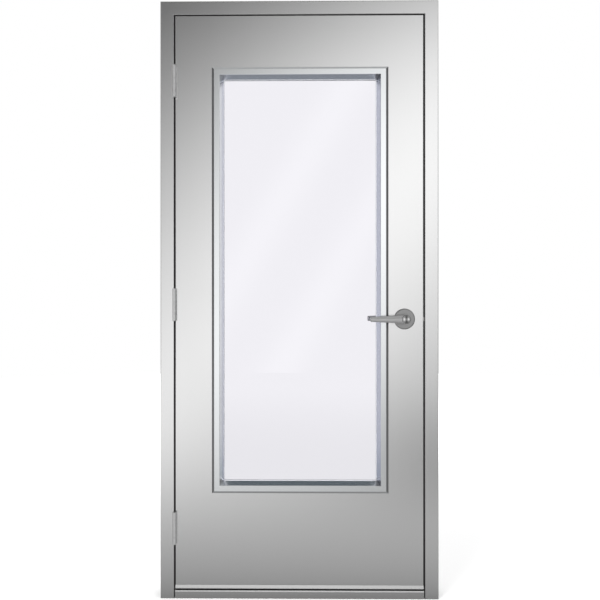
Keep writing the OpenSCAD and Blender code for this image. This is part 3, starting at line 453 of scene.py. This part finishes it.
# %% [markdown]
# ## Round work as rings
# Levers and screws are round work: a profile turned about an axis, or a bar drawn out along one.
# Both are a row of rings, so one helper is enough. It takes an array in the order copy, ring,
# place on the ring, joins each ring to the next with quads and closes both ends to a middle
# point. Twelve screws cost no more lines than one, because whole arrays are added at once.

# %% Rings into a mesh
SHARP_EDGE = math.radians(35)


def ring_mesh(name, parts, finish):
    """One mesh of arrays (copy, ring, spoke, xyz): each ring joins the next, each end is a fan."""
    points, faces, start = [], [], 0
    for rings in parts:
        copies, count, spokes = rings.shape[:3]
        here = start + np.arange(copies * count * spokes).reshape(copies, count, spokes)
        after = np.roll(here, -1, axis=2)
        ends = np.broadcast_to(start + here.size + np.arange(2 * copies).reshape(copies, 2, 1),
                               (copies, 2, spokes))
        quads = np.stack([here[:, :-1], after[:, :-1], after[:, 1:], here[:, 1:]], -1)
        first = np.stack([ends[:, 0], after[:, 0], here[:, 0]], -1)
        last = np.stack([ends[:, 1], here[:, -1], after[:, -1]], -1)
        points += [rings.reshape(-1, 3), rings[:, [0, -1]].mean(2).reshape(-1, 3)]
        faces += quads.reshape(-1, 4).tolist() + np.stack([first, last]).reshape(-1, 3).tolist()
        start += here.size + 2 * copies
    mesh = bpy.data.meshes.new(name)
    mesh.from_pydata(np.vstack(points).tolist(), [], faces)
    mesh.shade_smooth()
    mesh.set_sharp_from_angle(angle=SHARP_EDGE)
    mesh.materials.append(finish)
    piece = bpy.data.objects.new(name, mesh)
    scene.collection.objects.link(piece)
    return piece


def turned(profile, spokes):
    """Pairs of (radius, height) turned about Z: x = r cos a, y = r sin a, z = h."""
    r, h = np.asarray(profile).T[:, :, None]
    a = np.linspace(0, 2 * np.pi, spokes, endpoint=False)
    return np.stack([r * np.cos(a), r * np.sin(a), h + 0 * a], -1)[None]


def quarter(r, h, radius, steps=9):
    """A quarter circle about (r, h), from its outer side to its top."""
    a = np.linspace(0, np.pi / 2, steps)
    return np.stack([r + radius * np.cos(a), h + radius * np.sin(a)], -1)


print("ring_mesh, turned, quarter")

# %% [markdown]
# ## Levers
# The real lever is one casting: a round bar that grows out of the hub without a seam. In the
# solids the bar and the hub simply cross. Here the bar is a row of ellipses from the spindle to
# the blunt tip. Its half height follows the taper and swells by 1.6 mm at the hub, and its side
# towards the leaf swells further, as a fillet. The hub is a turned profile with a rounded face,
# bored for the spindle behind and, on the pull side, for the key plug in front.

# %% Two levers
LEAF_FRONT, LEAF_REAR = -0.073, -0.02855
HUB_FACE, EDGE_R, REACH = 0.066, 0.003, 0.050
BAR_L, ROOT_R, TIP_R, SWELL, FILLET = 0.1275, 0.015, 0.0093, 0.0016, 0.006


def fade(t, low, high):
    """A smooth step down from 1 at low to 0 at high."""
    s = np.clip((t - low) / (high - low), 0, 1)
    return 1 - s * s * (3 - 2 * s)


def lever_bar(spokes=64):
    """Ellipses along -X: half height r(t) + swell, half depth r(t) + fillet where sin a > 0."""
    b = np.linspace(0, np.radians(86), 10)
    straight = BAR_L - EDGE_R
    t = np.concatenate([np.linspace(0.002, straight, 60), straight + EDGE_R * np.sin(b[1:])])
    r = ROOT_R + (TIP_R - ROOT_R) * t / BAR_L
    r[-len(b):] = r[-len(b)] - EDGE_R + EDGE_R * np.cos(b)
    t, r = t[:, None], r[:, None]
    a = np.linspace(0, 2 * np.pi, spokes, endpoint=False)
    high = r + SWELL * fade(t, 0.004, 0.040)
    deep = r + FILLET * fade(t, 0.0130, 0.0290) * np.clip(np.sin(a), 0, 1)
    return np.stack([-t + 0 * a, high * np.cos(a), REACH - deep * np.sin(a)], -1)[None]


def lever_hub(keyed, spokes=72):
    """A turned profile: bore of the spindle, neck, barrel, rounded face, bore of the plug."""
    back = [(0.0058, 0.0304), (0.0058, 0.0025), (0.0135, 0.0025), (0.0135, 0.0105),
            (0.0157, 0.0116), (HUB_R, 0.0135)]
    edge = quarter(HUB_R - EDGE_R, HUB_FACE - EDGE_R, EDGE_R)
    bore = [(0.00690, HUB_FACE), (0.00646, HUB_FACE - 0.0004), (0.00646, HUB_FACE - 0.0222)]
    boss = [(0.0100, HUB_FACE), (0.0096, HUB_FACE - 0.0003), (0.0030, HUB_FACE - 0.0003)]
    return turned(np.vstack([back, edge, bore if keyed else boss]), spokes)


def lever(name, node, face_y, out):
    """Bar and hub set on a face of the leaf; out is -1 on the pull side and 1 on the push side."""
    parts = [lever_hub(out < 0), lever_bar()]
    placed = [np.stack([LOCK_X + p[..., 0], face_y + out * p[..., 2], LOCK_Z - out * p[..., 1]], -1)
              for p in parts]
    piece = ring_mesh(name, placed, lever_steel)
    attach(piece, "lever_set")
    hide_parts(node)
    return piece


made = [lever("pull_side_lever", "outside_lever", LEAF_FRONT, -1),
        lever("push_side_lever", "inside_lever", LEAF_REAR, 1)]
print("levers:", [len(piece.data.polygons) for piece in made], "faces")

# %% [markdown]
# ## Screws with cross recesses
# The solids have plain heads. A real head has a cross for the driver, and it shows on the hinges
# and the strike as soon as the leaf stands open. A head is a turned profile whose top is pressed
# down where the angle and radius fall inside a cross. The places don't have to be typed again:
# the points of the solid are sorted across the screws' axis and cut wherever they leave a gap.
# The sizes of the cross are shares of the head's radius, so one cross fits every head.

# %% Screw heads
SLOT_L, SLOT_W, SLOT_EDGE, SLOT_DEEP, SLOT_RISE = 0.56, 0.15, 0.05, 0.42, 0.45
CROSS_TURN, DOME, RIM = 0.4, 0.40, 0.45
HINGE_SHANK, SMALL_SHANK, PAN_H = 0.0027, 0.0020, 0.0018


def lumps(solid, along, gap=0.004):
    """Boxes of the separate screws in a solid: sorted across their axis and cut at each gap."""
    points = np.empty(len(solid.data.vertices) * 3, np.float32)
    solid.data.vertices.foreach_get("co", points)
    points = points.reshape(-1, 3)
    label = np.zeros(len(points), int)
    for axis in {0, 1, 2} - {along}:
        order = np.argsort(points[:, axis], kind="stable")
        jump = np.diff(points[order, axis], prepend=points[order[0], axis]) > gap
        part = np.empty_like(label)
        part[order] = np.cumsum(jump)
        label = label * (part.max() + 1) + part
    inside = [points[label == k] for k in np.unique(label)]
    return np.array([p.min(0) for p in inside]), np.array([p.max(0) for p in inside])


def cross(r, a, head_r):
    """Depth of a driver's cross: two crossed slots, deepest in the middle."""
    u, v = np.abs(r * np.cos(a)), np.abs(r * np.sin(a))
    edge = SLOT_EDGE * head_r

    def slot(along, beside):
        """1 inside a slot, fading out over its edge."""
        ends = np.clip((SLOT_L * head_r - along) / edge, 0, 1)
        sides = np.clip((SLOT_W * head_r - beside) / edge + 0.5, 0, 1)
        return ends * sides

    return head_r * (SLOT_DEEP - SLOT_RISE * r / head_r) * np.maximum(slot(u, v), slot(v, u))


def screws(node, toward, shank_r, head_h=0.0, spokes=48):
    """All screws of a node: shank, head (countersunk if head_h is 0), top = dome - cross."""
    along = int(np.argmax(np.abs(toward)))
    low, high = lumps(nodes[node], along)
    side = [axis for axis in range(3) if axis != along]
    head_r = float((high - low)[:, side].max() / 2)
    length = float((high - low)[0, along])
    rise = head_h or head_r - shank_r
    neck = [(shank_r, -length), (shank_r, -rise)]
    rim = [(head_r, -rise), (head_r, -RIM * rise)] if head_h else [(head_r, -0.0002)]
    sunk = DOME * rise if head_h else 0.0
    r = head_r * np.linspace(0.985, 0.05, 16)
    top = np.stack([r, -sunk * (r / head_r) ** 2], -1)
    shape = turned(np.vstack([neck, rim, top]), spokes)[0]
    a = np.linspace(0, 2 * np.pi, spokes, endpoint=False)
    shape[-len(r):, :, 2] -= cross(r[:, None], a + CROSS_TURN, head_r)
    d = np.asarray(toward, float)
    p = np.roll(d, 1)
    basis = np.stack([p, np.cross(d, p), d])
    middle = (low + high) / 2
    middle[:, along] = high[:, along] if d.sum() > 0 else low[:, along]
    piece = ring_mesh(node + "_cross", [middle[:, None, None, :] + shape @ basis], screw_steel)
    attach(piece, body_of[node])
    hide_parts(node)
    print(node, "screws:", len(middle), "head radius", round(head_r, 5))


bodies = frame["record"]["behaviour"]["bodies"]
body_of = {node: name for name, held in bodies.items() for node in held}
screws("jamb_hinge_screws", (1, 0, 0), HINGE_SHANK)
screws("door_hinge_screws", (-1, 0, 0), HINGE_SHANK)
screws("strike_screws", (-1, 0, 0), SMALL_SHANK)
screws("faceplate_screws", (1, 0, 0), SMALL_SHANK)
screws("threshold_screws", (0, 0, 1), SMALL_SHANK)
screws("shoe_screws", (0, 0, -1), SMALL_SHANK, PAN_H)
screws("lite_frame_screws", (0, 1, 0), SMALL_SHANK, PAN_H)

# %% [markdown]
# ## Floor
# The floor of a photo studio has no edge that shows. A square would do, but its corners could be
# seen in the steel, so the floor is a wide disc: a polar grid that is closed at its middle point.

# %% Floor disc
FLOOR_R, FLOOR_Z = 9.0, -0.0005


def disc(name, radius, rings, spokes, z):
    """A disc as a polar grid: x = r cos a, y = r sin a, closed at its middle point."""
    r, a = np.meshgrid(np.linspace(0, radius, rings + 1)[1:],
                       np.linspace(0, 2 * np.pi, spokes, endpoint=False), indexing="ij")
    points = np.stack([r * np.cos(a), r * np.sin(a), np.full_like(r, z)], -1).reshape(-1, 3)
    points = np.vstack([points, [[0.0, 0.0, z]]])
    here = np.arange(rings * spokes).reshape(rings, spokes)
    after = np.roll(here, -1, axis=1)
    quads = np.stack([here[:-1], here[1:], after[1:], after[:-1]], -1).reshape(-1, 4)
    tip = np.full(spokes, rings * spokes)
    caps = np.stack([tip, here[0], after[0]], -1)
    mesh = bpy.data.meshes.new(name)
    mesh.from_pydata(points.tolist(), [], quads.tolist() + caps.tolist())
    made = bpy.data.objects.new(name, mesh)
    scene.collection.objects.link(made)
    return made


floor = disc("floor", FLOOR_R, 12, 96, FLOOR_Z)
print(f"floor radius {FLOOR_R:g} m")

# %% [markdown]
# ## The floor's finish
# To the camera the floor is white with a soft shadow on it: most of its brightness is its own, and
# a diffuse part takes the shadow. Steel sees a studio floor that is darker under the door, where
# the light doesn't reach, and paler further out. Through the glass it is nearly white, a little
# greyer close to the door, and what the trim throws down through the glass meets it darker and
# cooler. The pane's own faint reflection of it is kept low. Light Path tells these rays apart, so
# that each kind gets its own level.

# %% Floor finish
WHITE, COOL_LIGHT = (1, 1, 1, 1), (0.74, 0.89, 1.0, 1)
STEEL_LEVEL, STEEL_POWER, PANE_MOST, TRIM_LOSS = 0.53, 0.28, 0.66, 0.68
RAY_KINDS = ("Is Camera Ray", "Is Glossy Ray", "Is Transmission Ray", "Is Singular Ray",
             "Glossy Depth")


def ray_kinds(tree):
    """Wires of Light Path: camera, gloss, through glass, sharp mirror, number of glossy bounces."""
    path = tree.node("ShaderNodeLightPath").socket.node
    return [Wire(tree.tree, path.outputs[kind]) for kind in RAY_KINDS]


pale, tree, shader, place = new_finish("pale_floor")
x, y, z = axes(place)
camera_ray, glossy_ray, through_ray, mirror_ray, bounces = ray_kinds(tree)
away = y.math("ABSOLUTE")
slant = x.math("MINIMUM", 1.4).math("MAXIMUM", -1.4) * away.ramp(0.2, 2.6, 0.0, 0.24)
slant = slant + x.math("MAXIMUM", 0.0).math("MINIMUM", 1.0) * away.ramp(0.9, 2.2, 0.0, 0.10)
seen_in_steel = STEEL_LEVEL * away ** STEEL_POWER - slant * away.ramp(3.0, 7.0, 1.0, 0.55)
seen_in_pane = seen_in_steel.math("MINIMUM", PANE_MOST)
seen_in_steel = seen_in_steel * (1 - mirror_ray) + seen_in_pane * mirror_ray
off_trim = bounces.math("MINIMUM", 1.0) * away.ramp(0.15, 1.2, 1.0, 0.0)
seen_in_glass = away.ramp(2.0, 7.0, 0.917, 1.0) * (1 - off_trim * TRIM_LOSS)
cool = off_trim.blend(WHITE, COOL_LIGHT)
shader.inputs["Base Color"].default_value = (0.80, 0.80, 0.80, 1)
shader.inputs["Roughness"].default_value = 0.9
shader.inputs["Specular IOR Level"].default_value = 0.0
far = (x * x + y * y).math("SQRT")
own = tree.node("ShaderNodeEmission", None, {0: WHITE, 1: far.ramp(1.0, 4.5, 0.25, 1.0)})
lit = tree.node("ShaderNodeBsdfDiffuse", None, {0: (0.62, 0.62, 0.62, 1)})
plain = tree.node("ShaderNodeAddShader", None, {0: own, 1: lit})
steel_view = tree.node("ShaderNodeEmission", None, {0: WHITE, 1: seen_in_steel})
glass_view = tree.node("ShaderNodeEmission", None, {0: cool, 1: seen_in_glass})
soft = Wire(tree.tree, shader.outputs[0])
look = tree.node("ShaderNodeMixShader", None, {0: glossy_ray, 1: soft, 2: steel_view})
look = tree.node("ShaderNodeMixShader", None, {0: through_ray, 1: look, 2: glass_view})
look = tree.node("ShaderNodeMixShader", None, {0: camera_ray, 1: look, 2: plain})
join(look, pale.node_tree.nodes["Material Output"], "Surface")
floor.data.materials.append(pale)
print("floor finish made, with a level of its own for each kind of ray")

# %% [markdown]
# ## Studio surroundings
# Steel has hardly any colour of its own: it shows the room. The room here is a white studio with
# one long soft light that lies slantwise in front of the door, from low on the left to high on
# the right. Written as a function of the direction d: with u = x / |y| and w = z / |y|, the light
# is a bell curve across the line that rises with u. The sides at right angles are dimmer, and
# straight up there is a grey ceiling. Real panels could stand there instead, but a formula has
# no edges to hide.

# %% What the steel sees
BAND_RISE, BAND_UP, BAND_WIDTH, BAND_LEVEL = 0.986, 0.047, 0.265, 1.25
DARKEST = 0.03


def bell(t, sharpness):
    """A bell curve: e to the power of minus sharpness times t squared."""
    return (t * t * -sharpness).math("EXPONENT")


world = bpy.data.worlds.new("studio")
scene.world = world
world.use_nodes = True
sky = Wire(world.node_tree)
dx, dy, dz = axes(sky.node("ShaderNodeTexCoord", None, None, out=0))
depth = dy.math("ABSOLUTE").math("MAXIMUM", 0.08)
u = dx / depth
w = dz / depth
across = (w - u * BAND_RISE - BAND_UP) / BAND_WIDTH
tilt = 1 + 0.4 * u.math("MINIMUM", 0.5).math("MAXIMUM", -0.5)
band = BAND_LEVEL * tilt * bell(across, 0.5)
top_fall = w.ramp(0.24, 0.52, 1.0, 0.35)
side = u.math("ABSOLUTE")
wings = side.ramp(0.36, 0.7, 0.0, 0.55) * side.ramp(1.8, 4.2, 1.0, 0.5)
ceiling = dz.ramp(0.6, 0.92, 0.0, 0.56)
room = wings.math("MAXIMUM", ceiling).math("MAXIMUM", DARKEST)
in_steel = (band * top_fall).math("MAXIMUM", room)
print("slanting light: rises by", BAND_RISE, "and is", BAND_WIDTH, "wide, as seen from the door")

# %% [markdown]
# ## What the glass shows
# The camera itself and the rays through the glass see plain white. The pane mirrors a calmer room
# with two narrow slanting lights in it, which make the pale streaks across the glass: Is Singular
# Ray picks out such sharp reflections. Only what the trim throws back through the glass meets the
# darker, cooler ceiling behind the door: Glossy Depth tells those rays apart.

# %% World
STREAK_LEAN, STREAK_WIDTH, STREAKS_AT = 0.59, 0.030, (-0.109, 0.015)
PANE_LEVEL, STREAK_LEVEL, STEEP_LOSS = 0.62, 0.95, 0.40
SOFT_LEVEL, BEHIND_LOSS = 0.5, 0.95
sees, glossy, through, mirror, bounces = ray_kinds(sky)
slanting = u - w * STREAK_LEAN
first, second = (bell((slanting - at) / STREAK_WIDTH, 1.0) for at in STREAKS_AT)
streaks = first + second
steep = dz.ramp(0.35, 0.75)
in_pane = (PANE_LEVEL + streaks * STREAK_LEVEL) * (1 - steep * STEEP_LOSS)
off_trim = through * bounces.math("MINIMUM", 1.0) * steep
in_glass = 1 - off_trim * BEHIND_LOSS
level = SOFT_LEVEL * (1 - glossy) + in_steel * glossy
level = level * (1 - mirror) + in_pane * mirror
level = level * (1 - through) + in_glass * through
level = level * (1 - sees) + sees
background = world.node_tree.nodes["Background"]
cool = off_trim + mirror * (1 - through) * steep
join(cool.blend(WHITE, COOL_LIGHT), background, "Color")
join(level, background, "Strength")
print("studio: one slanting soft light in front, white behind")

# %% [markdown]
# ## Lamps
# Three broad area lamps, two in front and one behind, give the rubber, the primer and the floor
# their light and shade. The steel has its reflections from the surroundings, so the lamps are kept
# out of its gloss: a square lamp mirrored in a flat sheet would look like a window.

# %% Three soft lamps


def soft_lamp(name, place, target, size, power):
    """A square area lamp at a place, turned towards a target, unseen in gloss."""
    data = bpy.data.lights.new(name, "AREA")
    data.shape = "SQUARE"
    data.size = size
    data.energy = power
    lamp = bpy.data.objects.new(name, data)
    scene.collection.objects.link(lamp)
    lamp.location = place
    aim = np.subtract(target, place)
    lamp.rotation_euler = (math.pi / 2 + math.atan2(aim[2], math.hypot(aim[0], aim[1])), 0,
                           math.atan2(-aim[0], aim[1]))
    lamp.visible_glossy = False
    lamp.visible_camera = False
    lamp.visible_transmission = False
    return lamp


lamps = [soft_lamp("key", (-2.4, -3.6, 4.2), (0, 0, 1.0), size=2.6, power=260),
         soft_lamp("fill", (2.8, -3.0, 2.6), (0, 0, 1.0), size=2.6, power=120),
         soft_lamp("back", (0.5, 4.0, 4.0), (0, 0, 0.8), size=3.0, power=200)]
print("lamps:", len(lamps))

# %% [markdown]
# ## Camera
# The door is seen straight on, from about 2.9 m, with the camera at half its height and some four
# centimetres to the right of the middle. The field of view is 41.4 degrees, so the frame fills
# the square picture from top to bottom.

# %% Camera
FIELD, SENSOR = 41.4, 36.0
EYE, TURN = (0.0363, -2.9724, 1.0932), (90 - 0.037, 0.021, 0.661)
lens = bpy.data.cameras.new("camera")
lens.sensor_width = SENSOR
lens.lens = SENSOR / 2 / math.tan(math.radians(FIELD / 2))
camera = bpy.data.objects.new("camera", lens)
scene.collection.objects.link(camera)
camera.location = EYE
camera.rotation_euler = [math.radians(angle) for angle in TURN]
scene.camera = camera
print("camera at", tuple(camera.location))
